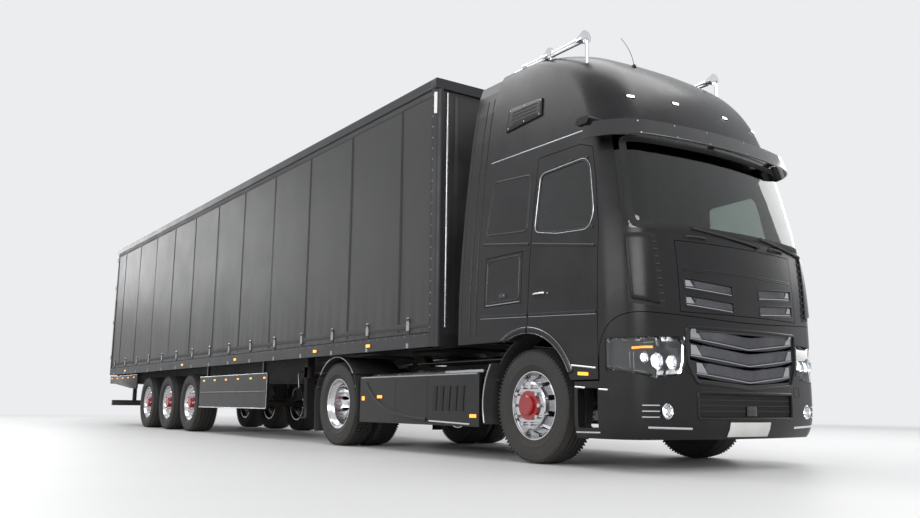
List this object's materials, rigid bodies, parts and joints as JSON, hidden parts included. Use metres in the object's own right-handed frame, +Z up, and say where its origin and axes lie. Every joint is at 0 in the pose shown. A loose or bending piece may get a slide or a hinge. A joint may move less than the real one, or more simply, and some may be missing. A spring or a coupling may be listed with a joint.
{
  "type": "articulated lorry",
  "caption": "High-roofed sleeper-cab tractor with a curtain-sided semi-trailer, hinged at the kingpin; doors, flaps, tilting cab, steering and wheels move.",
  "frame": {"origin": "on the ground under the middle of the overall length and width", "axes": "+X forward along the lorry, +Y to its left, +Z up"},
  "size_m": [16.5014, 2.55, 4],
  "materials": {
    "paint_black": "satin black paint",
    "paint_dark": "black chassis paint",
    "paint_grey": "dark grey paint",
    "plastic_black": "black grained plastic",
    "chrome": "polished chrome",
    "glass": "tinted glass",
    "lamp": "clear lamp lens",
    "lamp_red": "red lamp lens",
    "curtain": "black coated fabric",
    "wheel_slot": "rubber tyre on a polished alloy wheel",
    "seat_cloth": "dark woven cloth",
    "interior": "grey interior plastic",
    "cast": "dark cast iron",
    "wood_floor": "plywood load floor",
    "aluminium": "plain aluminium"
  },
  "bodies": {
    "chassis": {"frame": "paint_dark", "front_axle": "cast", "drive_axle": "cast", "engine_block": "cast", "tanks": "aluminium", "side_skirts": "paint_black", "mudguards": "plastic_black", "fifth_wheel": "cast", "bumper": "paint_black", "headlamps": "lamp", "lower_grille": "plastic_black", "steps": "plastic_black", "tail_lamps": "lamp_red"},
    "cab": {"cab_shell": "paint_black", "roof_dome": "paint_black", "sun_visor": "plastic_black", "windscreen": "glass", "deflectors": "paint_black", "dashboard": "interior", "seats": "seat_cloth", "horns": "chrome", "mirror_cams": "paint_black", "wipers": "plastic_black"},
    "front_flap": {"front_flap": "paint_black", "upper_grille": "plastic_black"},
    "trailer": {"trailer_beams": "paint_dark", "cross_members": "paint_dark", "trailer_coupler": "cast", "trailer_floor": "wood_floor", "trailer_axles": "cast", "landing_legs": "paint_grey", "headboard": "paint_dark", "trailer_posts": "paint_grey", "rear_frame": "paint_dark", "curtains": "curtain", "trailer_roof": "aluminium", "side_guards": "aluminium", "rear_guard": "paint_grey"},
    "door_left": {"door_left": "paint_black", "window_left": "glass"},
    "locker_left": {"locker_left": "paint_black"},
    "knuckle_left": {"knuckle_left": "cast"},
    "wheel_front_left": {"wheel_front_left": "wheel_slot"},
    "wheel_drive_left": {"wheel_drive_left": "wheel_slot"},
    "trailer_door_left": {"trailer_door_left": "paint_grey"},
    "wheel_trailer_1_left": {"wheel_trailer_1_left": "wheel_slot"},
    "wheel_trailer_2_left": {"wheel_trailer_2_left": "wheel_slot"},
    "wheel_trailer_3_left": {"wheel_trailer_3_left": "wheel_slot"},
    "door_right": {"door_right": "paint_black", "window_right": "glass"},
    "locker_right": {"locker_right": "paint_black"},
    "knuckle_right": {"knuckle_right": "cast"},
    "wheel_front_right": {"wheel_front_right": "wheel_slot"},
    "wheel_drive_right": {"wheel_drive_right": "wheel_slot"},
    "trailer_door_right": {"trailer_door_right": "paint_grey"},
    "wheel_trailer_1_right": {"wheel_trailer_1_right": "wheel_slot"},
    "wheel_trailer_2_right": {"wheel_trailer_2_right": "wheel_slot"},
    "wheel_trailer_3_right": {"wheel_trailer_3_right": "wheel_slot"}
  },
  "joints": [
    {"name": "trailer_yaw", "type": "hinge", "parent": "chassis", "child": "trailer", "pos_m": [3.75, 0, 1.13], "axis": [0, 0, 1], "range_deg": [-90, 90]},
    {"name": "cab_tilt", "type": "hinge", "parent": "chassis", "child": "cab", "pos_m": [8.09, 0, 0.9], "axis": [0, 1, 0], "range_deg": [0, 60]},
    {"name": "front_flap_lift", "type": "hinge", "parent": "cab", "child": "front_flap", "pos_m": [8.208, 0, 1.847], "axis": [0, -1, 0], "range_deg": [0, 85]},
    {"name": "door_left_swing", "type": "hinge", "parent": "cab", "child": "door_left", "pos_m": [7.737, 1.2438, 1.7], "axis": [0, 0, -1], "range_deg": [0, 75]},
    {"name": "locker_left_lift", "type": "hinge", "parent": "cab", "child": "locker_left", "pos_m": [6.47, 1.222, 1.897], "axis": [1, 0, 0], "range_deg": [0, 80]},
    {"name": "steer_left", "type": "hinge", "parent": "chassis", "child": "knuckle_left", "pos_m": [6.81, 0.88, 0.505], "axis": [0, 0, 1], "range_deg": [-40, 40]},
    {"name": "wheel_front_left_spin", "type": "hinge", "parent": "knuckle_left", "child": "wheel_front_left", "pos_m": [6.81, 1.02, 0.505], "axis": [0, 1, 0], "continuous": true},
    {"name": "wheel_drive_left_spin", "type": "hinge", "parent": "chassis", "child": "wheel_drive_left", "pos_m": [3.11, 0.894, 0.505], "axis": [0, 1, 0], "continuous": true},
    {"name": "trailer_door_left_swing", "type": "hinge", "parent": "trailer", "child": "trailer_door_left", "pos_m": [-8.236, 1.263, 2.5], "axis": [0, 0, -1], "range_deg": [0, 250]},
    {"name": "wheel_trailer_1_left_spin", "type": "hinge", "parent": "trailer", "child": "wheel_trailer_1_left", "pos_m": [-2.64, 1.02, 0.498], "axis": [0, 1, 0], "continuous": true},
    {"name": "wheel_trailer_2_left_spin", "type": "hinge", "parent": "trailer", "child": "wheel_trailer_2_left", "pos_m": [-3.95, 1.02, 0.498], "axis": [0, 1, 0], "continuous": true},
    {"name": "wheel_trailer_3_left_spin", "type": "hinge", "parent": "trailer", "child": "wheel_trailer_3_left", "pos_m": [-5.26, 1.02, 0.498], "axis": [0, 1, 0], "continuous": true},
    {"name": "door_right_swing", "type": "hinge", "parent": "cab", "child": "door_right", "pos_m": [7.737, -1.2438, 1.7], "axis": [0, 0, 1], "range_deg": [0, 75]},
    {"name": "locker_right_lift", "type": "hinge", "parent": "cab", "child": "locker_right", "pos_m": [6.47, -1.222, 1.897], "axis": [-1, 0, 0], "range_deg": [0, 80]},
    {"name": "steer_right", "type": "hinge", "parent": "chassis", "child": "knuckle_right", "pos_m": [6.81, -0.88, 0.505], "axis": [0, 0, 1], "range_deg": [-40, 40]},
    {"name": "wheel_front_right_spin", "type": "hinge", "parent": "knuckle_right", "child": "wheel_front_right", "pos_m": [6.81, -1.02, 0.505], "axis": [0, 1, 0], "continuous": true},
    {"name": "wheel_drive_right_spin", "type": "hinge", "parent": "chassis", "child": "wheel_drive_right", "pos_m": [3.11, -0.894, 0.505], "axis": [0, 1, 0], "continuous": true},
    {"name": "trailer_door_right_swing", "type": "hinge", "parent": "trailer", "child": "trailer_door_right", "pos_m": [-8.236, -1.263, 2.5], "axis": [0, 0, 1], "range_deg": [0, 250]},
    {"name": "wheel_trailer_1_right_spin", "type": "hinge", "parent": "trailer", "child": "wheel_trailer_1_right", "pos_m": [-2.64, -1.02, 0.498], "axis": [0, 1, 0], "continuous": true},
    {"name": "wheel_trailer_2_right_spin", "type": "hinge", "parent": "trailer", "child": "wheel_trailer_2_right", "pos_m": [-3.95, -1.02, 0.498], "axis": [0, 1, 0], "continuous": true},
    {"name": "wheel_trailer_3_right_spin", "type": "hinge", "parent": "trailer", "child": "wheel_trailer_3_right", "pos_m": [-5.26, -1.02, 0.498], "axis": [0, 1, 0], "continuous": true}
  ],
  "couplings": [
    {"joint": "steer_right", "follows": "steer_left", "ratio": 1}
  ]
}
